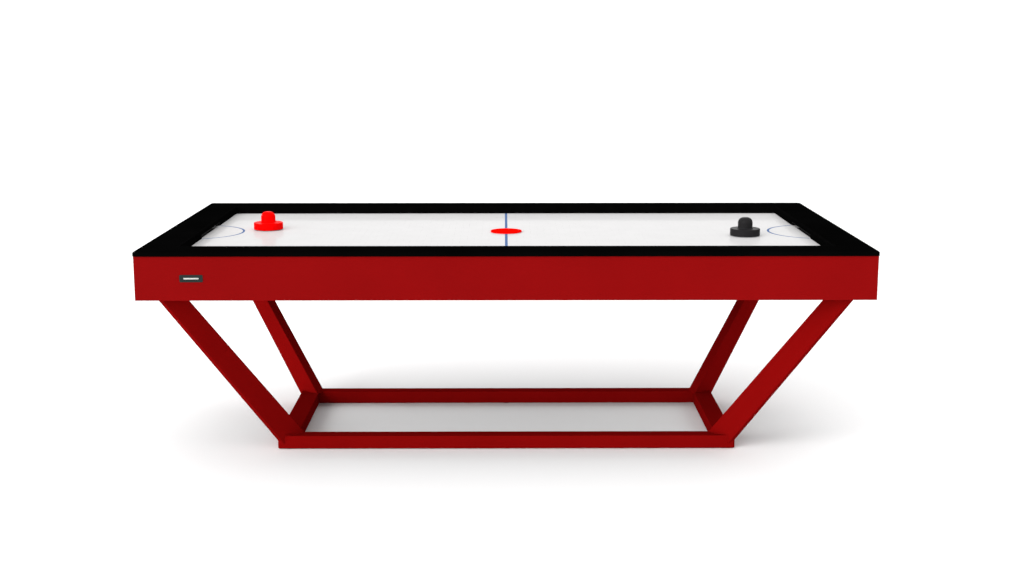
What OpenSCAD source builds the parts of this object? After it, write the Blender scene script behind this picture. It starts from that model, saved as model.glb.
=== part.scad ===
// Air hockey table: black rim, red apron, white air-fed playfield, splayed legs on a floor frame.
// X runs along the table, Y across it, Z up from the floor. The origin is on the floor at the middle.

/* [Table] */
// Length over the rim
table_l = 2445; // [2300:5:2600]
// Width over the rim
table_w = 1290; // [1200:2:1400]
// Height of the rim above the floor
table_h = 762; // [740:1:800]
// Distance from the rim's outer edge to the wall of the field
rim_w = 129; // [110:1:150]
// Thickness of the rim board
rim_t = 15; // [13:1:18]
// Radius of the rim's corners seen from above
rim_corner_r = 14; // [8:1:20]
// Radius along the rim's upper outer edge
rim_edge_r = 6; // [3:0.5:7]

/* [Field] */
// Depth of the playing surface below the rim
field_drop = 28; // [24:1:32]
// Thickness of the playfield board
field_t = 10; // [8:1:12]
// Thickness of the wall strip around the field
bumper_t = 12; // [10:1:16]
// Width of the strip's foot, which rests on the playfield's margin
bumper_foot = 40; // [34:1:44]
// Clear width of each goal slot
goal_w = 330; // [280:2:360]

/* [Cabinet] */
// Thickness of the apron boards
apron_t = 18; // [15:1:20]
// How far the rim overhangs the apron
apron_inset = 4; // [2:0.5:6]
// Height of the apron's lower edge above the floor
apron_z = 600; // [590:1:610]
// Recess of the bottom panel above the apron's lower edge
panel_recess = 12; // [10:1:16]
// Thickness of the bottom panel
panel_t = 12; // [9:1:15]
// Depth of the air chamber under the playfield
plenum_h = 32; // [28:1:36]
// Thickness of the air chamber's floor
plenum_floor_t = 6; // [5:1:9]

/* [Base] */
// Length of the floor frame
base_l = 1631; // [1560:1:1700]
// Width of the floor frame
base_w = 674; // [640:1:700]
// Height of the frame's tubes
rail_h = 46; // [40:1:50]
// Width of the two long tubes
rail_long_w = 56; // [50:1:60]
// Width of the two short tubes
rail_short_w = 68; // [60:1:72]
// Wall of the tubes
rail_wall = 4; // [3:0.5:5]
// Thickness of the floor pads
pad_t = 3; // [2:0.5:5]
// Diameter of the floor pads
pad_d = 40; // [30:1:44]

/* [Legs] */
// Centre of a leg at floor level, along X
foot_x = 750; // [740:1:760]
// Centre of a leg at floor level, along Y
foot_y = 281; // [276:1:286]
// Centre of a leg at the apron's lower edge, along X
head_x = 1119; // [1100:1:1122]
// Centre of a leg at the apron's lower edge, along Y
head_y = 567; // [556:1:570]
// Width of a leg at floor level, in the plane it leans in
leg_w_foot = 107; // [98:1:112]
// Width of a leg at the apron's lower edge
leg_w_head = 88; // [78:1:92]
// Thickness of a leg across the plane it leans in
leg_t = 40; // [36:1:42]
// Sheet thickness of a leg
leg_wall = 3; // [2:0.5:4]

/* [Blower] */
// Centre of the blower along X
blower_x = -70; // [-100:5:-50]
// Centre of the blower along Y
blower_y = 135; // [120:5:145]
// Outer radius of the blower's drum
drum_r = 100; // [95:1:105]
// Outer radius of the impeller
impeller_r = 74; // [70:1:80]
// Number of impeller blades
blade_count = 24; // [18:1:30]
// Diameter of the motor shaft
shaft_d = 8; // [6:0.5:10]

/* [Game pieces] */
// Diameter of a mallet's base
mallet_d = 108; // [100:1:110]
// Height of a mallet with its felt
mallet_h = 67; // [60:1:72]
// Height of a mallet's base
mallet_base_h = 25; // [20:1:28]
// Diameter of a mallet's knob
knob_d = 53; // [46:1:54]
// Thickness of the felt under a mallet
felt_t = 1.5; // [1:0.5:2]
// Diameter of the puck
puck_d = 115; // [100:1:116]
// Thickness of the puck
puck_t = 5; // [4:0.5:6.5]
// Place of the red mallet along X
red_x = -892; // [-960:1:-700]
// Place of the red mallet along Y
red_y = 70; // [-200:1:200]
// Place of the black mallet along X
black_x = 870; // [700:1:960]
// Place of the black mallet along Y
black_y = -97; // [-200:1:200]
// Gap between a game piece and the surface it glides on
glide_gap = 0.3; // [0.2:0.1:0.5]

/* [Hidden] */
$fn = 64;

// Colours
red_paint = [0.62, 0.05, 0.06];
black_paint = [0.03, 0.03, 0.035];
pale_wood = [0.78, 0.64, 0.45];
dark_plastic = [0.12, 0.12, 0.13];
bare_steel = [0.72, 0.73, 0.75];

// A hair of length that lets a cut run past a face
eps = 1;

// Heights
rim_z = table_h - rim_t;
field_z = table_h - field_drop;
plenum_top_z = field_z - field_t;
plenum_floor_top_z = plenum_top_z - plenum_h;
plenum_floor_z = plenum_floor_top_z - plenum_floor_t;
panel_z = apron_z + panel_recess;
panel_top_z = panel_z + panel_t;
rail_top_z = pad_t + rail_h;

// Half sizes in plan
rim_x = table_l / 2;
rim_y = table_w / 2;
field_x = rim_x - rim_w;
field_y = rim_y - rim_w;
apron_x = rim_x - apron_inset;
apron_y = rim_y - apron_inset;
inner_x = apron_x - apron_t;
inner_y = apron_y - apron_t;
base_x = base_l / 2;
base_y = base_w / 2;

// Goal and puck return
liner_t = 2;
slot_y = goal_w / 2;
cut_y = slot_y + liner_t;
goal_lip = 10;
goal_edge_x = field_x + goal_lip;
goal_wall = 3;
goal_box_y = cut_y + goal_wall;
chamber_reach = 50;
chamber_x = goal_edge_x - chamber_reach;
chamber_z = 637;
ramp_rise = 6;
return_half_w = 110;
return_z = 650;
return_top_z = 700;
return_r = 12;

// Air chamber
batten_w = 24;
batten_gap = 1;
batten_inset = 28;
batten_x = goal_edge_x - goal_wall - batten_gap;
batten_y = field_y + bumper_foot - batten_inset;
rib_w = 16;
rib_pitch = 270;
beam_w = 18;
beam_places = [330, 760];

// Blower
shell_t = 3;
cover_t = 3;
duct_x = 200;
duct_w = 76;
duct_top_z = 681;
vent_x = 150;
vent_l = 36;
vent_w = 60;
intake_r = 55;
intake_gap = 5;
motor_r = 38;
motor_z = 656;
shaft_play = 0.05;

// Electrics in the back apron
switch_x = 240;
inlet_x = 150;
outlet_z = 664;
pivot_depth = 4;
pivot_y = apron_y - pivot_depth;
rocker_tilt = 8;

// Leg directions
lean_run = norm([head_x - foot_x, head_y - foot_y]);
lean_angle = atan2(head_y - foot_y, head_x - foot_x);
plate_t = 6;
leg_top_z = panel_z - plate_t;
plate_shift = [1, 11];
plate_centre = [head_x - plate_shift[0], head_y - plate_shift[1]];
plate_size = [140, 120];
plate_r = 8;
bolt_inset = 16;
bolt_grip = 30;
screw_grip = 20;

// Snap-in bodies, screws and leads
switch_body = [28, 23];
inlet_body = [28, 21];
flange_t = 2;
pivot_d = 3;
bezel_depth = 6;
inlet_depth = 8;
box_x = 190;
box_y = 480;
box_size = [90, 60, 40];
front_gland = 45;
side_gland = 70;
gland_h = 20;
lead_d = 6;
lead_sides = 10;
lead_lift = 10;
lead_z = panel_top_z + lead_lift;
clip_places = [350, 400];
bolt_d = 8;
bolt_hole_d = 9;
bolt_head_d = 15;
bolt_head_h = 5.3;
screw_d = 4;
screw_hole_d = 4.4;
screw_inset = 60;
shaft_z = 640;
shaft_l = 35;

// ---------- shared shapes ----------

// A box given by its lowest and highest corners
module box(low, high) {
  translate(low) cube(high - low);
}

// A rectangle with round corners, centred, made of exact arcs
module round_rect(size, r) {
  square([size[0] - 2 * r, size[1]], center = true);
  square([size[0], size[1] - 2 * r], center = true);
  for (sx = [-1, 1], sy = [-1, 1])
    translate([sx * (size[0] / 2 - r), sy * (size[1] / 2 - r)]) circle(r);
}

// A strip [0, width] by [0, height] whose corner at the upper outer edge is round
module edge_section(width, height, r) {
  translate([r, 0]) square([width - r, height]);
  square([width, height - r]);
  translate([r, height - r]) circle(r);
}

// A section drawn in Y and Z, run along X from -half_length to half_length
module run_along_x(half_length) {
  translate([-half_length, 0, 0]) rotate([90, 0, 90]) linear_extrude(2 * half_length) children();
}

// A section drawn in X and Z, run along Y from -half_width to half_width
module run_along_y(half_width) {
  translate([0, half_width, 0]) rotate([90, 0, 0]) linear_extrude(2 * half_width) children();
}

// Its children and their mirror image across the plane x = 0 or y = 0
module both_x() {
  children();
  mirror([1, 0, 0]) children();
}

module both_y() {
  children();
  mirror([0, 1, 0]) children();
}

// ---------- rim ----------

// One side of the rim along X with its outer edge at y = -depth, mitred at both ends
module rim_side(half_length, depth) {
  board = rim_w - bumper_t;
  color(black_paint) intersection() {
    union() {
      translate([0, -depth, rim_z]) run_along_x(half_length - rim_corner_r)
        edge_section(board, rim_t, rim_edge_r);
      both_x() translate([half_length - rim_corner_r, rim_corner_r - depth, rim_z]) rotate_extrude()
        mirror([1, 0, 0]) translate([-rim_corner_r, 0])
          intersection() {
            edge_section(rim_corner_r + rim_edge_r, rim_t, rim_edge_r);
            square([rim_corner_r, rim_t]);
          }
    }
    translate([0, 0, rim_z - eps]) linear_extrude(rim_t + 2 * eps)
      polygon([[-half_length, -depth], [half_length, -depth],
               [half_length - board, board - depth], [board - half_length, board - depth]]);
  }
}

module rim_front() { rim_side(rim_x, rim_y); }
module rim_back() { rotate([0, 0, 180]) rim_side(rim_x, rim_y); }
module rim_left() { rotate([0, 0, -90]) rim_side(rim_y, rim_x); }
module rim_right() { rotate([0, 0, 90]) rim_side(rim_y, rim_x); }

// ---------- field walls ----------

// Wall strip along X with its face at y = -depth: a wall and a foot under the rim board
module bumper_side(half_length, depth) {
  foot_end = half_length + bumper_foot;
  intersection() {
    union() {
      box([-half_length - bumper_t, -depth - bumper_t, field_z], [half_length + bumper_t, -depth, table_h]);
      box([-foot_end, -depth - bumper_foot, field_z], [foot_end, -depth, rim_z]);
    }
    translate([0, 0, field_z - eps]) linear_extrude(field_drop + 2 * eps)
      polygon([[-foot_end, -depth - bumper_foot], [foot_end, -depth - bumper_foot],
               [half_length, -depth], [-half_length, -depth]]);
  }
}

// End wall strip with the goal slot cut through its foot
module bumper_end() {
  difference() {
    bumper_side(field_y, field_x);
    box([-cut_y, -field_x - bumper_foot - eps, field_z - eps], [cut_y, -field_x + eps, rim_z]);
  }
}

module bumper_front() { color(black_paint) bumper_side(field_x, field_y); }
module bumper_back() { color(black_paint) rotate([0, 0, 180]) bumper_side(field_x, field_y); }
module bumper_left() { color(black_paint) rotate([0, 0, -90]) bumper_end(); }
module bumper_right() { color(black_paint) rotate([0, 0, 90]) bumper_end(); }

// Bent sheet that lines the sides and the top of a goal slot
module goal_liner() {
  color(dark_plastic) difference() {
    box([field_x, -cut_y, field_z], [field_x + bumper_foot, cut_y, rim_z]);
    box([field_x - eps, -slot_y, field_z - eps], [field_x + bumper_foot + eps, slot_y, rim_z - liner_t]);
  }
}

module goal_liner_right() { goal_liner(); }
module goal_liner_left() { mirror([1, 0, 0]) goal_liner(); }

// ---------- playfield and air chamber ----------

module playfield() {
  margin_x = field_x + bumper_foot;
  margin_y = field_y + bumper_foot;
  color("white") difference() {
    box([-margin_x, -margin_y, plenum_top_z], [margin_x, margin_y, field_z]);
    both_x() box([goal_edge_x, -cut_y, plenum_top_z - eps], [margin_x + eps, cut_y, field_z + eps]);
  }
}

module plenum_floor() {
  vent_low = [vent_x - vent_l, blower_y + drum_r - duct_w / 2 - vent_w / 2, plenum_floor_z - eps];
  color(pale_wood) difference() {
    box([-inner_x, -inner_y, plenum_floor_z], [inner_x, inner_y, plenum_floor_top_z]);
    both_x() box([goal_edge_x - goal_wall - eps, -goal_box_y - eps, plenum_floor_z - eps],
                 [inner_x + eps, goal_box_y + eps, plenum_floor_top_z + eps]);
    translate(vent_low) cube([vent_l, vent_w, plenum_floor_t + 2 * eps]);
  }
}

module plenum_batten_long() {
  color(pale_wood)
    box([-batten_x, -batten_y - batten_w, plenum_floor_top_z], [batten_x, -batten_y, plenum_top_z]);
}

module plenum_batten_end() {
  color(pale_wood)
    box([batten_x - batten_w, -batten_y, plenum_floor_top_z], [batten_x, batten_y, plenum_top_z]);
}

module plenum_batten_front() { plenum_batten_long(); }
module plenum_batten_back() { mirror([0, 1, 0]) plenum_batten_long(); }
module plenum_batten_right() { plenum_batten_end(); }
module plenum_batten_left() { mirror([1, 0, 0]) plenum_batten_end(); }

// Three long ribs that carry the playfield, notched so that air passes under them
module plenum_ribs() {
  rib_x = batten_x - batten_w;
  notch_count = 6;
  notch_pitch = 2 * rib_x / notch_count;
  notch_w = 120;
  notch_h = 14;
  color(pale_wood) for (y = [-rib_pitch, 0, rib_pitch]) difference() {
    box([-rib_x, y - rib_w / 2, plenum_floor_top_z], [rib_x, y + rib_w / 2, plenum_top_z]);
    for (i = [0 : notch_count - 1])
      translate([-rib_x + (i + 0.5) * notch_pitch - notch_w / 2, y - rib_w, plenum_floor_top_z - eps])
        cube([notch_w, 2 * rib_w, notch_h + eps]);
  }
}

// ---------- cabinet ----------

module apron_long() {
  box([-apron_x, -apron_y, apron_z], [apron_x, -inner_y, rim_z]);
}

module apron_front() { color(red_paint) apron_long(); }

module apron_back() {
  color(red_paint) difference() {
    mirror([0, 1, 0]) apron_long();
    translate([switch_x, inner_y - eps, outlet_z]) rotate([-90, 0, 0])
      linear_extrude(apron_t + 2 * eps) square(switch_body, center = true);
    translate([inlet_x, inner_y - eps, outlet_z]) rotate([-90, 0, 0])
      linear_extrude(apron_t + 2 * eps) square(inlet_body, center = true);
  }
}

// The puck return's opening, as an outline across Y and Z that runs along X
module return_outline(grow) {
  translate([0, 0, (return_z + return_top_z) / 2]) rotate([90, 0, 90]) linear_extrude(apron_x + 2 * apron_t)
    round_rect([2 * return_half_w + 2 * grow, return_top_z - return_z + 2 * grow], return_r + grow);
}

module apron_right() {
  color(red_paint) difference() {
    box([inner_x, -inner_y, apron_z], [apron_x, inner_y, rim_z]);
    return_outline(0);
  }
}

module apron_left() { mirror([1, 0, 0]) apron_right(); }

module return_trim_right() {
  trim_w = 8;
  trim_t = 2;
  color(dark_plastic) intersection() {
    difference() {
      return_outline(trim_w);
      return_outline(0);
    }
    box([apron_x, -rim_y, apron_z], [apron_x + trim_t, rim_y, rim_z]);
  }
}

module return_trim_left() { mirror([1, 0, 0]) return_trim_right(); }

module corner_blocks() {
  block_l = 160;
  block_w = 140;
  color(pale_wood) difference() {
    both_x() both_y()
      box([inner_x - block_l, inner_y - block_w, panel_top_z], [inner_x, inner_y, plenum_floor_z]);
    at_leg_bolts() translate([0, 0, panel_top_z - eps]) cylinder(d = bolt_hole_d, h = bolt_grip + 2 * eps);
  }
}

module cross_beams() {
  color(pale_wood) difference() {
    both_x() for (x = beam_places)
      box([x - beam_w / 2, -inner_y, panel_top_z], [x + beam_w / 2, inner_y, plenum_floor_z]);
    at_panel_screws() translate([0, 0, panel_top_z - eps])
      cylinder(d = screw_hole_d, h = screw_grip + 2 * eps);
  }
}

module bottom_panel() {
  color(black_paint) difference() {
    box([-inner_x, -inner_y, panel_z], [inner_x, inner_y, panel_top_z]);
    translate([blower_x, blower_y, panel_z - eps]) cylinder(r = intake_r + intake_gap, h = panel_t + 2 * eps);
    at_leg_bolts() translate([0, 0, panel_z - eps]) cylinder(d = bolt_hole_d, h = panel_t + 2 * eps);
    at_panel_screws() translate([0, 0, panel_z - eps]) cylinder(d = screw_hole_d, h = panel_t + 2 * eps);
  }
}

// Tray behind a goal: a throat beside the playfield above a wider chamber with a sloping floor
module goal_box_right() {
  outer = [[goal_edge_x - goal_wall, plenum_top_z], [goal_edge_x - goal_wall, plenum_floor_z],
           [chamber_x - goal_wall, plenum_floor_z], [chamber_x - goal_wall, chamber_z],
           [inner_x, chamber_z], [inner_x, plenum_top_z]];
  inner = [[goal_edge_x, plenum_top_z + eps], [goal_edge_x, plenum_floor_z - goal_wall],
           [chamber_x, plenum_floor_z - goal_wall], [chamber_x, chamber_z + goal_wall + ramp_rise],
           [inner_x + eps, chamber_z + goal_wall], [inner_x + eps, plenum_top_z + eps]];
  color(dark_plastic) difference() {
    run_along_y(goal_box_y) polygon(outer);
    run_along_y(cut_y) polygon(inner);
  }
}

module goal_box_left() { mirror([1, 0, 0]) goal_box_right(); }

// ---------- blower ----------

// Plan of the blower's shell: a drum with a duct that leaves it along its back edge
module shell_plan(inset) {
  circle(drum_r - inset);
  translate([0, drum_r - duct_w + inset]) square([duct_x - inset, duct_w - 2 * inset]);
}

module blower_housing() {
  color(dark_plastic) translate([blower_x, blower_y, 0]) difference() {
    translate([0, 0, panel_top_z + cover_t]) linear_extrude(duct_top_z - panel_top_z - cover_t) shell_plan(0);
    translate([0, 0, panel_top_z]) linear_extrude(duct_top_z - panel_top_z - shell_t) shell_plan(shell_t);
    translate([vent_x - blower_x - vent_l, drum_r - duct_w / 2 - vent_w / 2, duct_top_z - shell_t - eps])
      cube([vent_l, vent_w, shell_t + 2 * eps]);
  }
}

module blower_cover() {
  color(dark_plastic) translate([blower_x, blower_y, panel_top_z]) difference() {
    linear_extrude(cover_t) shell_plan(0);
    translate([0, 0, -eps]) cylinder(r = intake_r, h = cover_t + 2 * eps);
  }
}

module blower_gasket() {
  low = [vent_x - vent_l, blower_y + drum_r - duct_w / 2 - vent_w / 2, duct_top_z];
  rim = 6;
  color("dimgray") difference() {
    translate(low - [rim, rim, 0]) cube([vent_l + 2 * rim, vent_w + 2 * rim, plenum_floor_z - duct_top_z]);
    translate(low - [0, 0, eps]) cube([vent_l, vent_w, plenum_floor_z - duct_top_z + 2 * eps]);
  }
}

module blower_motor() {
  motor_cap = 2;
  motor_top_z = duct_top_z - shell_t;
  bore_end_z = motor_top_z - motor_cap;
  color(bare_steel) translate([blower_x, blower_y, 0]) difference() {
    translate([0, 0, motor_z]) cylinder(r = motor_r, h = motor_top_z - motor_z);
    translate([0, 0, motor_z - eps]) cylinder(d = shaft_d + 2 * shaft_play, h = bore_end_z - motor_z + eps);
  }
}

module motor_shaft() {
  color(bare_steel) translate([blower_x, blower_y, shaft_z]) cylinder(d = shaft_d, h = shaft_l);
}

// Cage of blades on a disc whose hub is pressed on the motor shaft
module impeller() {
  disc_t = 3;
  disc_z = motor_z - 2 * disc_t;
  cage_z = panel_top_z + 8;
  cage_h = 40;
  ring_w = 18;
  ring_t = 2;
  blade_t = 1.5;
  blade_w = ring_w - 3;
  blade_angle = 35;
  hub_d = 22;
  hub_play = 1;
  color(dark_plastic) translate([blower_x, blower_y, 0]) {
    difference() {
      union() {
        translate([0, 0, disc_z]) cylinder(r = impeller_r, h = disc_t);
        translate([0, 0, shaft_z + hub_play]) cylinder(d = hub_d, h = motor_z - shaft_z - 2 * hub_play);
      }
      translate([0, 0, shaft_z]) cylinder(d = shaft_d, h = motor_z - shaft_z);
    }
    for (z = [cage_z, cage_z + cage_h - ring_t]) translate([0, 0, z]) difference() {
      cylinder(r = impeller_r, h = ring_t);
      translate([0, 0, -eps]) cylinder(r = impeller_r - ring_w, h = ring_t + 2 * eps);
    }
    for (i = [0 : blade_count - 1]) rotate([0, 0, i * 360 / blade_count])
      translate([impeller_r - ring_w / 2, 0, cage_z]) rotate([0, 0, blade_angle])
        translate([-blade_w / 2, -blade_t / 2, 0]) cube([blade_w, blade_t, cage_h]);
  }
}

// Round plate with rings of slots under the intake
module intake_grille() {
  disc_r = intake_r + 17;
  disc_t = 2;
  slot_w = 5;
  first_slot_r = 14;
  slot_pitch = 9;
  bar_w = 6;
  color(black_paint) translate([blower_x, blower_y, panel_z - disc_t]) difference() {
    cylinder(r = disc_r, h = disc_t);
    for (r = [first_slot_r : slot_pitch : intake_r - slot_w]) difference() {
      translate([0, 0, -eps]) cylinder(r = r + slot_w, h = disc_t + 2 * eps);
      translate([0, 0, -2 * eps]) cylinder(r = r, h = disc_t + 4 * eps);
      for (a = [0, 60, 120]) rotate([0, 0, a]) translate([-disc_r, -bar_w / 2, -2 * eps])
        cube([2 * disc_r, bar_w, disc_t + 4 * eps]);
    }
  }
}

// ---------- electrics ----------

// Snap-in frame of the switch, closed at its back, with holes for the rocker's pivots
module switch_bezel() {
  flange_lip = 3;
  flange = [switch_body[0] + 2 * flange_lip, switch_body[1] + 2 * flange_lip];
  wall = 1.5;
  back_t = 2;
  back_y = inner_y - bezel_depth;
  color(dark_plastic) difference() {
    union() {
      translate([switch_x, back_y, outlet_z]) rotate([-90, 0, 0])
        linear_extrude(apron_y - back_y) square(switch_body, center = true);
      translate([switch_x, apron_y, outlet_z]) rotate([-90, 0, 0])
        linear_extrude(flange_t) round_rect(flange, 2);
    }
    translate([switch_x, back_y + back_t, outlet_z]) rotate([-90, 0, 0])
      linear_extrude(apron_y) square(switch_body - 2 * [wall, wall], center = true);
    translate([switch_x, pivot_y, outlet_z]) rotate([0, 90, 0])
      cylinder(d = pivot_d + 2 * shaft_play, h = switch_body[0] + 2 * eps, center = true);
  }
}

// Rocker with a shallow V face, at rest with its lower end pressed in
module switch_rocker() {
  side_gap = 2;
  pivot_play = 0.2;
  half_w = switch_body[0] / 2 - side_gap;
  half_h = 8.4;
  face = [[-4.5, -3.5], [-4.5, 3.5], [-1, half_h], [3.4, half_h], [2, 0], [3.4, -half_h], [-1, -half_h]];
  color([0.7, 0.06, 0.06]) translate([switch_x, pivot_y, outlet_z]) rotate([-rocker_tilt, 0, 0]) {
    run_along_x(half_w) polygon(face);
    rotate([0, 90, 0]) cylinder(d = pivot_d, h = switch_body[0] - 2 * pivot_play, center = true);
  }
}

// Snap-in mains inlet with three flat contacts in its recess
module power_inlet() {
  flange = inlet_body + [8, 6];
  wall = 2.5;
  recess = inlet_body - 2 * [wall, wall];
  back_y = inner_y - inlet_depth;
  recess_depth = 17;
  contact = [1.5, 10, 4];
  contact_y = apron_y + flange_t - recess_depth;
  color(dark_plastic) difference() {
    union() {
      translate([inlet_x, back_y, outlet_z]) rotate([-90, 0, 0])
        linear_extrude(apron_y - back_y) square(inlet_body, center = true);
      translate([inlet_x, apron_y, outlet_z]) rotate([-90, 0, 0])
        linear_extrude(flange_t) round_rect(flange, 3);
    }
    translate([inlet_x, contact_y, outlet_z]) rotate([-90, 0, 0])
      linear_extrude(recess_depth + eps) round_rect(recess, 2);
  }
  color(bare_steel) for (at = [[-7, -2], [0, 2], [7, -2]])
    translate([inlet_x + at[0] - contact[0] / 2, contact_y - eps, outlet_z + at[1] - contact[2] / 2])
      cube([contact[0], contact[1] + eps, contact[2]]);
}

module junction_box() {
  wall = 2.5;
  low = [box_x, box_y, panel_top_z];
  color(dark_plastic) difference() {
    translate(low) cube(box_size);
    translate(low + [wall, wall, wall]) cube(box_size - 2 * [wall, wall, wall]);
    translate(low + [front_gland, -eps, gland_h]) rotate([-90, 0, 0])
      cylinder(d = lead_d, h = box_size[1] + 2 * eps);
    translate(low + [side_gland, box_size[1] / 2, gland_h]) rotate([-90, 0, 0])
      cylinder(d = lead_d, h = box_size[1]);
  }
}

// Direction of a route at one of its points, halfway between the stretches that meet there
function unit(v) = v / norm(v);
function stretch(route, i) = i < 0 || i > len(route) - 2 ? [0, 0, 0] : unit(route[i + 1] - route[i]);
function heading(route, i) = unit(stretch(route, i - 1) + stretch(route, i));

// Ring of points round a route, square to its direction
function ring(centre, along, radius) =
  let (across = unit(cross(along, [0, 0, 1])), up = cross(across, along))
  [for (k = [0 : lead_sides - 1]) centre + radius * (cos(360 * k / lead_sides) * across
                                                   + sin(360 * k / lead_sides) * up)];

// Round lead swept along a route
module lead(route) {
  rings = len(route);
  n = lead_sides;
  points = [for (i = [0 : rings - 1]) each ring(route[i], heading(route, i), lead_d / 2)];
  sides = [for (i = [0 : rings - 2], k = [0 : n - 1])
    [i * n + k, i * n + (k + 1) % n, (i + 1) * n + (k + 1) % n, (i + 1) * n + k]];
  start = [[for (k = [n - 1 : -1 : 0]) k]];
  finish = [[for (k = [0 : n - 1]) (rings - 1) * n + k]];
  polyhedron(points, concat(start, sides, finish));
}

// Leads from the junction box to the blower, held by two clips, to the mains inlet and to the switch
module internal_leads() {
  mid_x = box_x + front_gland;
  side_x = box_x + side_gland;
  mid_z = panel_top_z + gland_h;
  back_y = box_y + box_size[1];
  run_y = 290;
  switch_end_x = switch_x + 5;
  color("black") {
    lead([[mid_x, box_y, mid_z], [mid_x, box_y - 12, mid_z], [mid_x, box_y - 45, lead_z],
          [mid_x, run_y + 40, lead_z], [mid_x - 20, run_y + 15, lead_z], [mid_x - 60, run_y, lead_z],
          [blower_x + 60, run_y, lead_z], [blower_x + 20, run_y - 15, lead_z],
          [blower_x, run_y - 35, lead_z], [blower_x, blower_y + drum_r, lead_z]]);
    lead([[mid_x, back_y, mid_z], [mid_x, back_y + 6, mid_z + 1],
          [mid_x - 30, back_y + 30, outlet_z - 10], [inlet_x + 12, inner_y - 26, outlet_z - 2],
          [inlet_x, inner_y - 16, outlet_z], [inlet_x, inner_y - inlet_depth, outlet_z]]);
    lead([[side_x, back_y, mid_z], [side_x, back_y + 12, mid_z + 1],
          [switch_end_x + 1, inner_y - 26, outlet_z - 4], [switch_end_x, inner_y - 14, outlet_z],
          [switch_end_x, inner_y - bezel_depth, outlet_z]]);
  }
}

// Blocks on the bottom panel that the blower's lead passes through
module lead_clips() {
  clip = [14, 8, lead_lift + lead_d / 2 + 2];
  color("white") for (y = clip_places) translate([box_x + front_gland, y, panel_top_z]) difference() {
    translate([-clip[0] / 2, -clip[1] / 2, 0]) cube(clip);
    translate([0, 0, lead_lift]) rotate([90, 0, 0])
      cylinder(d = lead_d, h = clip[1] + 2 * eps, center = true);
  }
}

// ---------- floor frame and legs ----------

// One side of the floor frame along X with its outer face at y = -depth, a hollow tube with mitred ends
module base_rail(half_length, depth, width, end_width) {
  chamfer = 6;
  outline = [[-half_length, -depth], [half_length, -depth],
             [half_length - end_width, width - depth], [end_width - half_length, width - depth]];
  color(red_paint) difference() {
    intersection() {
      translate([0, 0, pad_t]) linear_extrude(rail_h) polygon(outline);
      linear_extrude(rail_top_z) polygon([
        [-half_length + chamfer, -depth], [half_length - chamfer, -depth],
        [half_length, chamfer - depth], [half_length, 0],
        [-half_length, 0], [-half_length, chamfer - depth]]);
    }
    box([-half_length + rail_wall, -depth + rail_wall, pad_t + rail_wall],
        [half_length - rail_wall, width - depth - rail_wall, rail_top_z - rail_wall]);
  }
}

module base_rail_front() { base_rail(base_x, base_y, rail_long_w, rail_short_w); }
module base_rail_back() { rotate([0, 0, 180]) base_rail(base_x, base_y, rail_long_w, rail_short_w); }
module base_rail_left() { rotate([0, 0, -90]) base_rail(base_y, base_x, rail_short_w, rail_long_w); }
module base_rail_right() { rotate([0, 0, 90]) base_rail(base_y, base_x, rail_short_w, rail_long_w); }

// Outline of a leg from height z0 to z1 in the upright plane it leans in, set back by inset
function leg_outline(z0, z1, inset) = [
  for (corner = [[z0, -1], [z0, 1], [z1, 1], [z1, -1]])
    let (share = corner[0] / apron_z, width = leg_w_foot + (leg_w_head - leg_w_foot) * share)
      [lean_run * share + corner[1] * (width / 2 - inset), corner[0]]];

module leg_bar(z0, z1, inset) {
  translate([foot_x, foot_y, 0]) rotate([90, 0, lean_angle])
    linear_extrude(leg_t - 2 * inset, center = true) polygon(leg_outline(z0, z1, inset));
}

// Leaning tapered leg of bent sheet, coped over the corner of the floor frame
module leg() {
  color(red_paint) difference() {
    leg_bar(pad_t, leg_top_z, 0);
    leg_bar(0, leg_top_z + eps, leg_wall);
    box([0, 0, 0], [base_x, base_y, rail_top_z]);
  }
}

module leg_back_right() { leg(); }
module leg_back_left() { mirror([1, 0, 0]) leg(); }
module leg_front_right() { mirror([0, 1, 0]) leg(); }
module leg_front_left() { mirror([1, 0, 0]) mirror([0, 1, 0]) leg(); }

// Places its children at the four bolts of each leg plate
module at_leg_bolts() {
  both_x() both_y() for (sx = [-1, 1], sy = [-1, 1])
    translate([plate_centre[0] + sx * (plate_size[0] / 2 - bolt_inset),
               plate_centre[1] + sy * (plate_size[1] / 2 - bolt_inset), 0]) children();
}

module leg_plates() {
  color(red_paint) difference() {
    both_x() both_y() translate([plate_centre[0], plate_centre[1], leg_top_z])
      linear_extrude(plate_t) round_rect(plate_size, plate_r);
    at_leg_bolts() translate([0, 0, leg_top_z - eps]) cylinder(d = bolt_hole_d, h = plate_t + 2 * eps);
  }
}

// Hexagon bolts through the plates and the bottom panel into the corner blocks
module leg_bolts() {
  color(bare_steel) at_leg_bolts() {
    translate([0, 0, leg_top_z - bolt_head_h]) cylinder(d = bolt_head_d, h = bolt_head_h, $fn = 6);
    translate([0, 0, leg_top_z]) cylinder(d = bolt_d, h = plate_t + panel_t + bolt_grip);
  }
}

module floor_pads() {
  end_gap = 40;
  color("black") for (x = [end_gap - base_x, 0, base_x - end_gap]) both_y()
    translate([x, base_y - rail_long_w / 2, 0]) cylinder(d = pad_d, h = pad_t);
}

// Places its children at the screws that hold the bottom panel
module at_panel_screws() {
  both_x() for (x = beam_places, y = [-1, 0, 1]) translate([x, y * (inner_y - screw_inset), 0]) children();
}

module panel_screws() {
  head_d = 9;
  head_t = 2.4;
  color(bare_steel) at_panel_screws() {
    translate([0, 0, panel_z - head_t]) cylinder(d = head_d, h = head_t);
    translate([0, 0, panel_z]) cylinder(d = screw_d, h = panel_t + screw_grip);
  }
}

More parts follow.
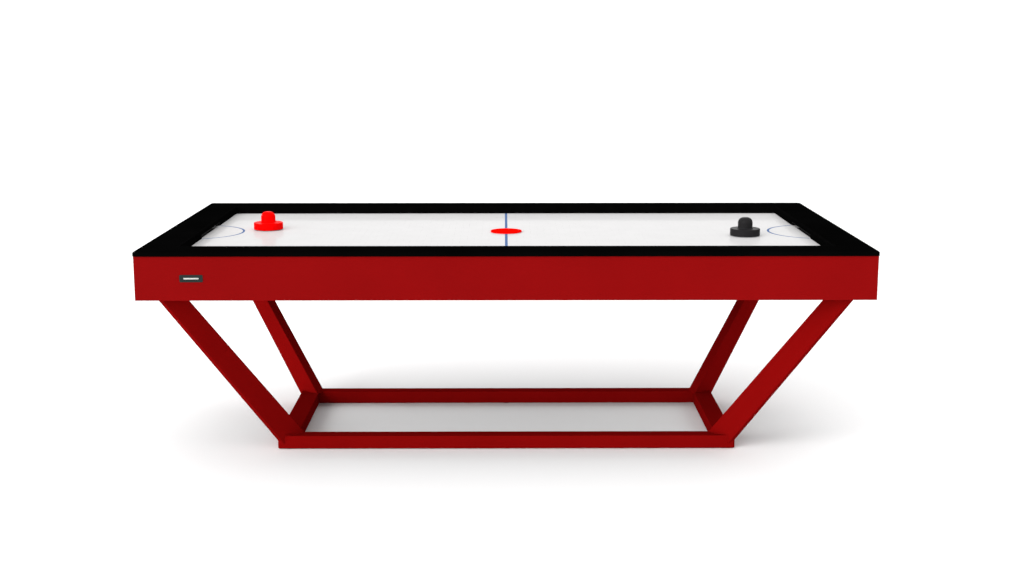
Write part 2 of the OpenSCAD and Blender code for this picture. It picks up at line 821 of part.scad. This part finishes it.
// Plain plate on the front apron
module name_plate() {
  size = [76, 24];
  plate_x = -1032;
  plate_z = 674;
  color(bare_steel) translate([plate_x, -apron_y, plate_z]) rotate([90, 0, 0])
    linear_extrude(1.5) round_rect(size, 3);
}

// ---------- game pieces ----------

// Half section of a mallet: a flat base with round edges, a fillet and a domed knob
module mallet_section() {
  r = mallet_d / 2;
  k = knob_d / 2;
  body_h = mallet_h - felt_t;
  edge = 3;
  foot = 1;
  fillet = 5;
  dome = 20;
  square([r - edge, mallet_base_h]);
  translate([0, foot]) square([r, mallet_base_h - edge - foot]);
  translate([r - edge, mallet_base_h - edge]) circle(edge);
  square([k, body_h - dome]);
  square([k - dome, body_h]);
  intersection() {
    translate([k - dome, body_h - dome]) circle(dome);
    square([k, body_h]);
  }
  difference() {
    square([k + fillet, mallet_base_h + fillet]);
    translate([k + fillet, mallet_base_h + fillet]) circle(fillet);
  }
}

module mallet(at) {
  wall = 4;
  foot_w = 6;
  crown = 24;
  translate([at[0], at[1], field_z + glide_gap + felt_t]) rotate_extrude($fn = 96) difference() {
    mallet_section();
    translate([-eps, -eps]) square([mallet_d / 2 - foot_w + eps, mallet_base_h - wall + eps]);
    translate([-eps, 0]) square([knob_d / 2 - wall + eps, mallet_h - crown]);
  }
}

module mallet_felt(at) {
  felt_inset = 1;
  translate([at[0], at[1], field_z + glide_gap]) cylinder(r = mallet_d / 2 - felt_inset, h = felt_t);
}

module mallet_red() { color("red") mallet([red_x, red_y]); }
module mallet_red_felt() { color("silver") mallet_felt([red_x, red_y]); }
module mallet_black() { color(dark_plastic) mallet([black_x, black_y]); }
module mallet_black_felt() { color("silver") mallet_felt([black_x, black_y]); }

module puck() {
  edge = 1;
  color("red") translate([0, 0, field_z + glide_gap]) rotate_extrude($fn = 96) {
    square([puck_d / 2 - edge, puck_t]);
    translate([0, edge]) square([puck_d / 2, puck_t - 2 * edge]);
    for (z = [edge, puck_t - edge]) translate([puck_d / 2 - edge, z]) circle(edge);
  }
}

rim_front();
rim_back();
rim_left();
rim_right();
bumper_front();
bumper_back();
bumper_left();
bumper_right();
goal_liner_left();
goal_liner_right();
playfield();
plenum_floor();
plenum_batten_front();
plenum_batten_back();
plenum_batten_left();
plenum_batten_right();
plenum_ribs();
apron_front();
apron_back();
apron_left();
apron_right();
corner_blocks();
cross_beams();
bottom_panel();
goal_box_left();
goal_box_right();
return_trim_left();
return_trim_right();
blower_housing();
blower_cover();
blower_motor();
motor_shaft();
impeller();
blower_gasket();
intake_grille();
switch_bezel();
switch_rocker();
power_inlet();
junction_box();
internal_leads();
lead_clips();
base_rail_front();
base_rail_back();
base_rail_left();
base_rail_right();
leg_front_left();
leg_front_right();
leg_back_left();
leg_back_right();
leg_plates();
leg_bolts();
floor_pads();
panel_screws();
name_plate();
mallet_red();
mallet_red_felt();
mallet_black();
mallet_black_felt();
puck();
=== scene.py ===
"""Looks of the air hockey table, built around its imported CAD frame. Metres, Z up, floor at zero."""

import math

import bmesh
import bpy
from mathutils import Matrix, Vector


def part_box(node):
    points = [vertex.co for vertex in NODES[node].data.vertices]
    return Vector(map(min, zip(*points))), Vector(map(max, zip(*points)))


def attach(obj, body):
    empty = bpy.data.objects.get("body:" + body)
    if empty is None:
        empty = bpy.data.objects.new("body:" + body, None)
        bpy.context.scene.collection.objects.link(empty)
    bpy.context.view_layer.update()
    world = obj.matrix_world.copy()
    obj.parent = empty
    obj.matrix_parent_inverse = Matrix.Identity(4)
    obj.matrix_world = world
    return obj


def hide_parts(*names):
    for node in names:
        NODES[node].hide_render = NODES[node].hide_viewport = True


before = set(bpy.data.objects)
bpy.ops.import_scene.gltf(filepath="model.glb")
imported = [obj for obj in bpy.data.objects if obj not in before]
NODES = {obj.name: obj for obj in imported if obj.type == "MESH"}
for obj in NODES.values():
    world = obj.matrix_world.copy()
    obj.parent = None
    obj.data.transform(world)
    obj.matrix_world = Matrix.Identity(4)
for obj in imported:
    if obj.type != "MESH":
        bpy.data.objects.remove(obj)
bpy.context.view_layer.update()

MM = 0.001


# ---------- camera, light and floor ----------

EYE = (-0.0082, -5.2248, 1.4979)
PITCH_DOWN = 0.18467
YAW_RIGHT = 0.00566
LENS_MM = 50.0
SENSOR_MM = 36.0

KEY_AZIMUTH = 46.0  # degrees round from +X that the key light travels towards
KEY_ELEVATION = 28.0
KEY_ANGLE = 14.0
KEY_STRENGTH = 0.19
# Wide soft panels of the studio: degrees round from +X, degrees up, tightness and strength
PANELS = [
    (225, 10, 6, 5.6),
    (270, 10, 6, 0.62),
    (270, 45, 6, 0.88),
    (0, 10, 6, 0.57),
    (0, 45, 6, 0.81),
    (90, 10, 6, 1.46),
    (90, 45, 6, 1.37),
    (180, 10, 6, 0.74),
    (0, 90, 2, 0.65),
]
HORIZON_GLOW = 0.7
HORIZON_RISE = 0.1  # sine of the angle above the horizon at which the glow ends
FLOOR_TONE = 0.98
FLOOR_SIZE = 400.0


def towards(round_z, up):
    """The unit vector at some degrees round from +X and up from the floor."""
    turn = math.radians(round_z)
    rise = math.radians(up)
    return Vector((math.cos(turn) * math.cos(rise), math.sin(turn) * math.cos(rise), math.sin(rise)))


def make_camera():
    """A 50 mm lens well above the rim, looking slightly down at the front apron."""
    data = bpy.data.cameras.new("view")
    data.lens = LENS_MM
    data.sensor_width = SENSOR_MM
    data.clip_end = FLOOR_SIZE
    camera = bpy.data.objects.new("view", data)
    camera.location = EYE
    camera.rotation_euler = (math.pi / 2 - PITCH_DOWN, 0, -YAW_RIGHT)
    bpy.context.scene.collection.objects.link(camera)
    bpy.context.scene.camera = camera


def make_key_light():
    """One large soft light from the front left."""
    data = bpy.data.lights.new("key", "SUN")
    data.energy = KEY_STRENGTH
    data.angle = math.radians(KEY_ANGLE)
    light = bpy.data.objects.new("key", data)
    travel = towards(KEY_AZIMUTH, -KEY_ELEVATION)
    light.rotation_euler = travel.to_track_quat("-Z", "Y").to_euler()
    bpy.context.scene.collection.objects.link(light)


def make_sky():
    """The studio's light: wide soft panels, strongest low down at the front left, over a pale horizon."""
    world = bpy.data.worlds.new("studio")
    world.use_nodes = True
    tree = world.node_tree
    background = tree.nodes["Background"]
    background.inputs["Color"].default_value = (1, 1, 1, 1)
    direction = tree.nodes.new("ShaderNodeTexCoord").outputs["Generated"]

    def maths(operation, a, b):
        node = tree.nodes.new("ShaderNodeMath")
        node.operation = operation
        for socket, value in zip(node.inputs, (a, b)):
            if isinstance(value, (int, float)):
                socket.default_value = value
            else:
                tree.links.new(value, socket)
        return node.outputs[0]

    split = tree.nodes.new("ShaderNodeSeparateXYZ")
    tree.links.new(direction, split.inputs[0])
    fade = maths("DIVIDE", maths("ABSOLUTE", split.outputs["Z"], 0.0), HORIZON_RISE)
    near = maths("MAXIMUM", maths("SUBTRACT", 1.0, fade), 0.0)
    total = maths("MULTIPLY", near, HORIZON_GLOW)
    for round_z, up, tightness, strength in PANELS:
        facing = tree.nodes.new("ShaderNodeVectorMath")
        facing.operation = "DOT_PRODUCT"
        facing.inputs[1].default_value = towards(round_z, up)
        tree.links.new(direction, facing.inputs[0])
        lit = maths("POWER", maths("MAXIMUM", facing.outputs["Value"], 0.0), tightness)
        total = maths("ADD", total, maths("MULTIPLY", lit, strength))
    tree.links.new(total, background.inputs["Strength"])
    bpy.context.scene.world = world


def make_floor():
    """A wide pale floor, matt."""
    half = FLOOR_SIZE / 2
    mesh = bpy.data.meshes.new("floor")
    corners = [(-half, -half, 0), (half, -half, 0), (half, half, 0), (-half, half, 0)]
    mesh.from_pydata(corners, [], [(0, 1, 2, 3)])
    floor = bpy.data.objects.new("floor", mesh)
    material = bpy.data.materials.new("pale_floor")
    material.use_nodes = True
    tree = material.node_tree
    tree.nodes.remove(tree.nodes["Principled BSDF"])
    matt = tree.nodes.new("ShaderNodeBsdfDiffuse")
    matt.inputs["Color"].default_value = (FLOOR_TONE, FLOOR_TONE, FLOOR_TONE, 1)
    tree.links.new(matt.outputs[0], tree.nodes["Material Output"].inputs["Surface"])
    mesh.materials.append(material)
    bpy.context.scene.collection.objects.link(floor)


# ---------- materials ----------


def linear(colour):
    """An 8-bit display colour as linear light, with alpha 1."""
    parts = [c / 255 for c in colour]
    return (*[p / 12.92 if p <= 0.04045 else ((p + 0.055) / 1.055) ** 2.4 for p in parts], 1)


class Graph:
    """A material's node tree, with short calls for the nodes used here."""

    def __init__(self, name):
        self.material = bpy.data.materials.new(name)
        self.material.use_nodes = True
        self.nodes = self.material.node_tree.nodes
        self.links = self.material.node_tree.links
        self.shader = self.nodes["Principled BSDF"]
        self.place = self.nodes.new("ShaderNodeTexCoord").outputs["Object"]

    def stretched(self, stretch):
        """The place on the object, with each axis scaled."""
        mapping = self.nodes.new("ShaderNodeMapping")
        mapping.inputs["Scale"].default_value = stretch
        self.links.new(self.place, mapping.inputs["Vector"])
        return mapping.outputs["Vector"]

    def noise(self, scale, detail=2.0, stretch=(1, 1, 1), distortion=0.0):
        """Soft noise from 0 to 1; scale is in waves per metre."""
        node = self.nodes.new("ShaderNodeTexNoise")
        node.inputs["Scale"].default_value = scale
        node.inputs["Detail"].default_value = detail
        node.inputs["Distortion"].default_value = distortion
        self.links.new(self.stretched(stretch), node.inputs["Vector"])
        return node.outputs["Fac"]

    def cells(self, scale, stretch=(1, 1, 1)):
        """Distance to the nearest of scattered points, as foam and pebbled mouldings show."""
        node = self.nodes.new("ShaderNodeTexVoronoi")
        node.inputs["Scale"].default_value = scale
        self.links.new(self.stretched(stretch), node.inputs["Vector"])
        return node.outputs["Distance"]

    def joined(self, a, b, share):
        """a and b blended, with share of b."""
        node = self.nodes.new("ShaderNodeMix")
        node.inputs["Factor"].default_value = share
        self.links.new(a, node.inputs["A"])
        self.links.new(b, node.inputs["B"])
        return node.outputs["Result"]

    def ranged(self, value, low, high):
        """value's usual middle range brought to low .. high."""
        node = self.nodes.new("ShaderNodeMapRange")
        node.inputs["From Min"].default_value = 0.3
        node.inputs["From Max"].default_value = 0.7
        node.inputs["To Min"].default_value = low
        node.inputs["To Max"].default_value = high
        self.links.new(value, node.inputs["Value"])
        return node.outputs["Result"]

    def coloured(self, value, low, high):
        """A colour between low and high, which are linear colours."""
        node = self.nodes.new("ShaderNodeValToRGB")
        node.color_ramp.elements[0].position = 0.3
        node.color_ramp.elements[1].position = 0.7
        node.color_ramp.elements[0].color = low
        node.color_ramp.elements[1].color = high
        self.links.new(value, node.inputs["Fac"])
        return node.outputs["Color"]

    def bumped(self, height, depth):
        """A surface normal from height, depth metres from low to high."""
        node = self.nodes.new("ShaderNodeBump")
        node.inputs["Distance"].default_value = depth
        self.links.new(height, node.inputs["Height"])
        return node.outputs["Normal"]


def peel(graph, along):
    """Sprayed or powder paint: a fine orange peel."""
    return graph.noise(4, 3), graph.noise(260, 2)


def pebble(graph, along):
    """Moulded plastic: a fine pebbled skin."""
    return graph.noise(25, 4), graph.cells(1100)


def polish(graph, along):
    """Smooth glossy plastic, with faint waves in the moulding."""
    return graph.noise(12, 3), graph.noise(70, 2)


def grain(graph, along):
    """Wood: long streaks, with finer pores among them."""
    streaks = graph.noise(1, 6, stretch=[6 if axis == along else 70 for axis in range(3)], distortion=0.8)
    pores = graph.noise(1, 4, stretch=[25 if axis == along else 900 for axis in range(3)])
    return graph.joined(streaks, pores, 0.35), pores


def brushed(graph, along):
    """Metal with fine parallel scratches."""
    scratches = graph.noise(1, 5, stretch=[12 if axis == along else 1800 for axis in range(3)])
    return graph.joined(graph.noise(20, 3), scratches, 0.6), scratches


def spangle(graph, along):
    """Zinc plating: faint crystals."""
    return graph.cells(160), graph.noise(500, 3)


def sponge(graph, along):
    """Foam: open cells."""
    return graph.cells(500), graph.cells(800)


def fibre(graph, along):
    """Felt: short fibres lying every way."""
    one = graph.noise(1, 4, stretch=(2400, 500, 900), distortion=1.5)
    other = graph.noise(1, 4, stretch=(500, 2400, 900), distortion=1.5)
    both = graph.joined(one, other, 0.5)
    return both, both


# For each of the record's slots: pattern, display colour, its spread, roughness, its spread,
# depth of the relief in mm, and constants for the shader.
FINISHES = {
    "rim_black": (peel, (4, 4, 4), 0.25, 0.75, 0.06, 0.03, {"Specular IOR Level": 0.0}),
    "apron_red": (peel, (118, 7, 8), 0.04, 0.46, 0.05, 0.02, {"Specular IOR Level": 0.01}),
    "frame_red": (peel, (117, 7, 7), 0.05, 0.50, 0.06, 0.03, {"Specular IOR Level": 0.0}),
    "wall_black": (pebble, (5, 5, 5), 0.20, 0.70, 0.06, 0.02, {"Specular IOR Level": 0.0}),
    "moulded_black": (pebble, (24, 24, 26), 0.15, 0.50, 0.08, 0.03, {"Specular IOR Level": 0.40}),
    "clip_white": (polish, (176, 176, 172), 0.05, 0.40, 0.05, 0.02, {}),
    "mallet_black": (polish, (34, 33, 34), 0.06, 0.42, 0.05, 0.03, {"Specular IOR Level": 0.03}),
    "mallet_red": (polish, (238, 3, 2), 0.03, 0.42, 0.05, 0.03, {"Specular IOR Level": 0.01}),
    "puck_red": (polish, (243, 8, 2), 0.03, 0.45, 0.05, 0.02, {"Specular IOR Level": 0.0}),
    "rocker_red": (polish, (205, 18, 14), 0.04, 0.28, 0.04, 0.02, {}),
    "field_white": (polish, (198, 197, 197), 0.015, 0.10, 0.02, 0.004, {"Specular IOR Level": 0.0018}),
    "liner_black": (peel, (9, 9, 10), 0.20, 0.60, 0.06, 0.02, {"Specular IOR Level": 0.02}),
    "grille_black": (peel, (18, 18, 19), 0.20, 0.48, 0.06, 0.02, {"Specular IOR Level": 0.30}),
    "pale_ply": (grain, (196, 160, 112), 0.16, 0.62, 0.08, 0.06, {"Specular IOR Level": 0.35}),
    "panel_black": (grain, (26, 25, 24), 0.25, 0.60, 0.08, 0.04, {"Specular IOR Level": 0.25}),
    "motor_steel": (brushed, (158, 158, 160), 0.10, 0.36, 0.08, 0.01, {"Metallic": 1.0}),
    "fastener_zinc": (spangle, (172, 174, 178), 0.10, 0.34, 0.08, 0.01, {"Metallic": 1.0}),
    "plate_metal": (brushed, (33, 40, 39), 0.10, 0.50, 0.06, 0.01, {"Specular IOR Level": 0.05}),
    "foam": (sponge, (46, 46, 48), 0.25, 0.92, 0.05, 0.40, {"Specular IOR Level": 0.20}),
    "lead_black": (polish, (28, 28, 30), 0.12, 0.55, 0.06, 0.03, {"Specular IOR Level": 0.35}),
    "pad_rubber": (pebble, (30, 30, 31), 0.15, 0.80, 0.08, 0.06, {"Specular IOR Level": 0.25}),
    "felt": (fibre, (52, 53, 55), 0.35, 0.95, 0.04, 0.35, {"Sheen Weight": 0.4}),
}


def shaded(colour, factor):
    """A linear colour made lighter or darker."""
    return (*[min(c * factor, 1) for c in colour[:3]], 1)


def make_finish(name, pattern, colour, spread, roughness, rough_spread, depth_mm, constants, along=0):
    """A procedural material: colour, roughness and relief all follow the pattern."""
    graph = Graph(name)
    tone, relief = pattern(graph, along)
    base = linear(colour)
    shader = graph.shader
    hue = graph.coloured(tone, shaded(base, 1 - spread), shaded(base, 1 + spread))
    gloss = graph.ranged(tone, roughness - rough_spread, roughness + rough_spread)
    graph.links.new(hue, shader.inputs["Base Color"])
    graph.links.new(gloss, shader.inputs["Roughness"])
    graph.links.new(graph.bumped(relief, depth_mm * MM), shader.inputs["Normal"])
    for socket, value in constants.items():
        shader.inputs[socket].default_value = value
    return graph.material


materials = {}


def finish_for(slot, along=0):
    """The material of one of the record's slots, with its grain along an axis where it has one."""
    key = f"{slot}_{'xyz'[along]}" if FINISHES[slot][0] in (grain, brushed) else slot
    if key not in materials:
        materials[key] = make_finish(key, *FINISHES[slot], along=along)
    return materials[key]


def longest_axis(node):
    """0, 1 or 2 for the axis a CAD node is longest along."""
    low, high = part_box(node)
    size = high - low
    return max(range(3), key=lambda axis: size[axis])


def dress_nodes():
    """Gives each CAD node the material of its slot."""
    for name, node in NODES.items():
        slot = node.material_slots[0].material.name
        node.material_slots[0].material = finish_for(slot, longest_axis(name))


# ---------- edges of the CAD nodes ----------

# Radius in mm of the softened edges; the other nodes have EDGE_MM.
EDGE_MM = 0.4
EDGES_MM = {
    "rim_": 0.5,
    "bumper_": 1.0,
    "apron_": 1.0,
    "base_rail_": 1.2,
    "leg_front": 1.5,
    "leg_back": 1.5,
    "mallet_": 0.8,
    "puck": 0.8,
    "internal_leads": 0,
}
SHARP_ANGLE = math.radians(35)


def join_group():
    """A node group that joins the corners that the CAD mesh holds apart, and shades it smooth."""
    group = bpy.data.node_groups.new("join_corners", "GeometryNodeTree")
    for side in ("INPUT", "OUTPUT"):
        group.interface.new_socket("Geometry", in_out=side, socket_type="NodeSocketGeometry")
    start = group.nodes.new("NodeGroupInput")
    end = group.nodes.new("NodeGroupOutput")
    plain = group.nodes.new("GeometryNodeRemoveAttribute")
    plain.inputs["Name"].default_value = "custom_normal"
    merge = group.nodes.new("GeometryNodeMergeByDistance")
    merge.inputs["Distance"].default_value = 1e-5
    faces = group.nodes.new("GeometryNodeSetShadeSmooth")
    edges = group.nodes.new("GeometryNodeSetShadeSmooth")
    edges.domain = "EDGE"
    chain = [start, plain, merge, faces, edges, end]
    for a, b in zip(chain, chain[1:]):
        group.links.new(a.outputs[0], b.inputs[0])
    return group


def soften_edges():
    """Small rounded edges on every CAD node, as on sprayed board, bent tube and moulded parts."""
    group = join_group()
    for name, node in NODES.items():
        radius = next((mm for start, mm in EDGES_MM.items() if name.startswith(start)), EDGE_MM)
        if not radius:
            continue
        join = node.modifiers.new("join", "NODES")
        join.node_group = group
        bevel = node.modifiers.new("edge", "BEVEL")
        bevel.width = radius * MM
        bevel.segments = 2
        bevel.limit_method = "ANGLE"
        bevel.angle_limit = SHARP_ANGLE
        normals = node.modifiers.new("shade", "WEIGHTED_NORMAL")
        normals.weight = 50


# ---------- pieces made here ----------


def add_piece(name, mesh, slot, body, *stands_for, extra=()):
    """Links a mesh as a piece of the object."""
    piece = bpy.data.objects.new(name, mesh)
    bpy.context.scene.collection.objects.link(piece)
    mesh.materials.append(finish_for(slot))
    for material in extra:
        mesh.materials.append(material)
    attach(piece, body)
    if stands_for:
        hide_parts(*stands_for)
    return piece


HOLE_PITCH = 25.4 * MM
HOLE_RADIUS = 0.6 * MM
HOLE_COLUMNS = 86
HOLE_ROWS = 40
GOAL_LIP = 4 * MM  # how far the board runs on into a goal slot


HOLE_SIDES = 8


def board_outline(low, high):
    """The playfield's outline, anticlockwise, with a notch at each goal that leaves a short lip."""
    throat_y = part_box("goal_liner_right")[1].y
    lip_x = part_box("bumper_right")[0].x + GOAL_LIP
    return [
        (low.x, low.y), (high.x, low.y), (high.x, -throat_y), (lip_x, -throat_y),
        (lip_x, throat_y), (high.x, throat_y), (high.x, high.y), (low.x, high.y),
        (low.x, throat_y), (-lip_x, throat_y), (-lip_x, -throat_y), (low.x, -throat_y),
    ]


def board_points(outline, heights):
    """Points of both faces, with the first index of each face's grid, holes and outline."""
    half_x = HOLE_COLUMNS * HOLE_PITCH / 2
    half_y = HOLE_ROWS * HOLE_PITCH / 2
    columns = [-half_x + i * HOLE_PITCH for i in range(HOLE_COLUMNS + 1)]
    rows = [-half_y + j * HOLE_PITCH for j in range(HOLE_ROWS + 1)]
    turns = [2 * math.pi * (k + 0.5) / HOLE_SIDES for k in range(HOLE_SIDES)]
    ring = [(HOLE_RADIUS * math.cos(t), HOLE_RADIUS * math.sin(t)) for t in turns]
    points = []
    sides = []
    for z in heights:
        grid = {}
        for j, y in enumerate(rows):
            for i, x in enumerate(columns):
                grid[i, j] = len(points)
                points.append((x, y, z))
        holes = {}
        for j in range(HOLE_ROWS):
            for i in range(HOLE_COLUMNS):
                holes[i, j] = len(points)
                centre_x = (columns[i] + columns[i + 1]) / 2
                centre_y = (rows[j] + rows[j + 1]) / 2
                points.extend((centre_x + x, centre_y + y, z) for x, y in ring)
        sides.append((grid, holes, len(points)))
        points.extend((x, y, z) for x, y in outline)
    return points, sides


def face_loops(grid, holes, edge):
    """Loops of one face seen from above: a frame round each hole, and the board's margins."""
    loops = []
    for (i, j), h in holes.items():
        corner = (grid[i + 1, j + 1], grid[i, j + 1], grid[i, j], grid[i + 1, j])
        for quarter in range(4):
            first, second, third = [h + (2 * quarter + k) % HOLE_SIDES for k in range(3)]
            loops.append((corner[quarter], second, first))
            loops.append((corner[quarter], corner[(quarter + 1) % 4], third, second))
    front = [grid[i, 0] for i in range(HOLE_COLUMNS, -1, -1)]
    back = [grid[i, HOLE_ROWS] for i in range(HOLE_COLUMNS + 1)]
    right = [grid[HOLE_COLUMNS, j] for j in range(HOLE_ROWS, -1, -1)]
    left = [grid[0, j] for j in range(HOLE_ROWS + 1)]
    loops.append((edge, edge + 1, *front))
    loops.append((edge + 6, edge + 7, *back))
    loops.append((*(edge + k for k in range(1, 7)), *right))
    loops.append((*(edge + k % 12 for k in range(7, 13)), *left))
    return loops


def field_mesh():
    """The playfield board with its air holes drilled right through, as one closed mesh."""
    low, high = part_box("playfield")
    outline = board_outline(low, high)
    points, (top, bottom) = board_points(outline, (high.z, low.z))
    faces = face_loops(*top) + [loop[::-1] for loop in face_loops(*bottom)]
    corners = len(outline)
    for k in range(corners):
        after = (k + 1) % corners
        faces.append((top[2] + k, bottom[2] + k, bottom[2] + after, top[2] + after))
    walls_from = len(faces)
    for key, above in top[1].items():
        below = bottom[1][key]
        for k in range(HOLE_SIDES):
            after = (k + 1) % HOLE_SIDES
            faces.append((above + k, above + after, below + after, below + k))
    mesh = bpy.data.meshes.new("playfield_drilled")
    mesh.from_pydata(points, [], faces)
    # The hole walls take the second material, which is painted shade: near-black for the shade deep
    # inside the narrow holes.
    for face in mesh.polygons[walls_from:]:
        face.material_index = 1
    return mesh


def make_field():
    """The drilled playfield in place of the plain CAD board."""
    dull = {"Specular IOR Level": 0.1}
    # Painted shade: the holes' walls are near-black to stand in for the shade inside the narrow holes,
    # not for the board's own colour.
    shade = make_finish("hole_shade", pebble, (16, 16, 18), 0.2, 0.9, 0.05, 0.01, dull)
    add_piece("playfield_drilled", field_mesh(), "field_white", "table", "playfield", extra=(shade,))


def make_ink():
    """The blue of the markings."""
    no_shine = {"Specular IOR Level": 0.0}
    return make_finish("ink_blue", polish, (84, 107, 148), 0.04, 0.30, 0.03, 0.004, no_shine)


LINE_W = 9.5 * MM
ARC_W = 8 * MM
ARC_RADIUS = 177 * MM
ARC_SET_BACK = 58 * MM  # how far behind the end wall an arc's centre lies
INK_T = 0.06 * MM
ARC_STEPS = 96
ARC_GAP = 0.012  # radians left free at each end of an arc


def closed_mesh(name, points, faces):
    """A mesh whose faces all point outwards."""
    mesh = bpy.data.meshes.new(name)
    mesh.from_pydata(points, [], faces)
    bm = bmesh.new()
    bm.from_mesh(mesh)
    bmesh.ops.recalc_face_normals(bm, faces=bm.faces)
    bm.to_mesh(mesh)
    bm.free()
    return mesh


def strip_mesh(name, inner, outer, z):
    """A thin closed film between two open outlines of equal length."""
    points = []
    for (ax, ay), (bx, by) in zip(inner, outer):
        points += [(ax, ay, z), (bx, by, z), (bx, by, z + INK_T), (ax, ay, z + INK_T)]
    faces = []
    count = len(inner)
    for n in range(count - 1):
        for k in range(4):
            a, b = 4 * n + k, 4 * n + (k + 1) % 4
            faces.append((a, b, b + 4, a + 4))
    faces.append((3, 2, 1, 0))
    last = 4 * (count - 1)
    faces.append((last, last + 1, last + 2, last + 3))
    return closed_mesh(name, points, faces)


def make_markings():
    """The blue centre line and the arc before each goal, printed on the playfield."""
    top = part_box("playfield")[1].z
    field_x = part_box("bumper_right")[0].x
    field_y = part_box("bumper_back")[0].y
    ink = make_ink()
    half = LINE_W / 2
    films = {"centre_line": ([(-half, -field_y), (-half, field_y)], [(half, -field_y), (half, field_y)])}
    for name, side in (("goal_arc_left", -1), ("goal_arc_right", 1)):
        reach = math.acos(ARC_SET_BACK / ARC_RADIUS) - ARC_GAP
        turns = [reach * (2 * n / ARC_STEPS - 1) for n in range(ARC_STEPS + 1)]
        centre = side * (field_x + ARC_SET_BACK)
        inner, outer = [
            [(centre - side * r * math.cos(t), r * math.sin(t)) for t in turns]
            for r in (ARC_RADIUS - ARC_W / 2, ARC_RADIUS + ARC_W / 2)
        ]
        films[name] = (inner, outer)
    for name, (inner, outer) in films.items():
        mesh = strip_mesh(name, inner, outer, top)
        piece = add_piece(name, mesh, "field_white", "table")
        piece.material_slots[0].material = ink


BAR_PART = (0.66, 0.20)  # of the name plate's width and height
BAR_T = 0.3 * MM
BAR_ROUND = 0.9  # of the bar's half height


def make_plate_bar():
    """A plain pale bar inlaid in the dark name plate, in place of any lettering."""
    low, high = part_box("name_plate")
    middle = (low + high) / 2
    half_x = (high.x - low.x) / 2 * BAR_PART[0]
    half_z = (high.z - low.z) / 2 * BAR_PART[1]
    bm = bmesh.new()
    bmesh.ops.create_cube(bm, size=2)
    for corner in bm.verts:
        corner.co = Vector((
            middle.x + corner.co.x * half_x,
            low.y + (corner.co.y - 1) / 2 * BAR_T,
            middle.z + corner.co.z * half_z,
        ))
    upright = [e for e in bm.edges if abs(e.verts[0].co.y - e.verts[1].co.y) > BAR_T / 2]
    bmesh.ops.bevel(bm, geom=upright, offset=half_z * BAR_ROUND, segments=4, profile=0.5, affect="EDGES")
    mesh = bpy.data.meshes.new("name_plate_bar")
    bm.to_mesh(mesh)
    bm.free()
    add_piece("name_plate_bar", mesh, "clip_white", "table")


BEAD_R = 2.2 * MM
BEAD_STEP = 1.2 * MM
BEAD_RIPPLE = 0.16
BEAD_SIDES = 8
BEAD_END = 0.35  # the radius at a bead's ends, as a share
BEAD_WAVE = 3  # rings in one ripple
SHORTEST_BEAD = 6 * BEAD_R
AT_EDGE = 2 * MM  # an edge of a leg nearer to the frame's outline than this has no bead
LEVEL = 0.3 * MM  # how far from a height a corner may lie and still belong to it


def hull_of(points):
    """The convex outline of flat points, anticlockwise."""
    ordered = sorted(set(points))

    def chain(line):
        kept = []
        for x, y in line:
            while len(kept) > 1:
                (ax, ay), (bx, by) = kept[-2:]
                if (bx - ax) * (y - ay) - (by - ay) * (x - ax) > 1e-9:
                    break
                kept.pop()
            kept.append((x, y))
        return kept[:-1]

    return chain(ordered) + chain(ordered[::-1])


def section_of(node, z):
    """The outline of a CAD node's corners that lie at height z."""
    mesh = NODES[node].data
    world = NODES[node].matrix_world
    places = [world @ v.co for v in mesh.vertices]
    return hull_of([(round(p.x, 5), round(p.y, 5)) for p in places if abs(p.z - z) < LEVEL])


def add_bead(points, faces, start, end):
    """A rippled weld bead from start to end, as a closed round rod."""
    along = (end - start).normalized()
    side = along.cross(Vector((0, 0, 1)))
    length = (end - start).length
    rings = max(int(length / BEAD_STEP), 4)
    first = len(points)
    for n in range(rings + 1):
        share = n / rings
        taper = BEAD_END if n in (0, rings) else 1.0
        radius = BEAD_R * taper * (1 + BEAD_RIPPLE * math.sin(n * 2 * math.pi / BEAD_WAVE))
        centre = start.lerp(end, share)
        for k in range(BEAD_SIDES):
            turn = 2 * math.pi * k / BEAD_SIDES
            points.append(centre + radius * (math.cos(turn) * side + math.sin(turn) * Vector((0, 0, 1))))
    for n in range(rings):
        for k in range(BEAD_SIDES):
            a = first + n * BEAD_SIDES + k
            b = first + n * BEAD_SIDES + (k + 1) % BEAD_SIDES
            faces.append((a, b, b + BEAD_SIDES, a + BEAD_SIDES))
    faces.append(tuple(first + k for k in reversed(range(BEAD_SIDES))))
    faces.append(tuple(first + rings * BEAD_SIDES + k for k in range(BEAD_SIDES)))


def make_welds():
    """Painted weld beads where each leg meets the floor frame and its plate."""
    rail_low, rail_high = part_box("base_rail_front")
    base_x = rail_high.x
    base_y = -rail_low.y
    plate_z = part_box("leg_plates")[0].z
    for leg in ("leg_front_left", "leg_front_right", "leg_back_left", "leg_back_right"):
        points = []
        faces = []
        for z in (rail_high.z, plate_z):
            outline = section_of(leg, z)
            for (ax, ay), (bx, by) in zip(outline, outline[1:] + outline[:1]):
                middle_x = abs(ax + bx) / 2
                middle_y = abs(ay + by) / 2
                past_rail = middle_x > base_x - AT_EDGE or middle_y > base_y - AT_EDGE
                hidden = z == rail_high.z and past_rail
                if hidden or math.hypot(ax - bx, ay - by) < SHORTEST_BEAD:
                    continue
                add_bead(points, faces, Vector((ax, ay, z)), Vector((bx, by, z)))
        mesh = closed_mesh(f"{leg}_welds", points, faces)
        for face in mesh.polygons:
            face.use_smooth = True
        add_piece(f"{leg}_welds", mesh, "frame_red", "table")


make_camera()
make_key_light()
make_sky()
make_floor()
bpy.context.scene.view_settings.view_transform = "Standard"
dress_nodes()
soften_edges()
make_field()
make_markings()
make_plate_bar()
make_welds()
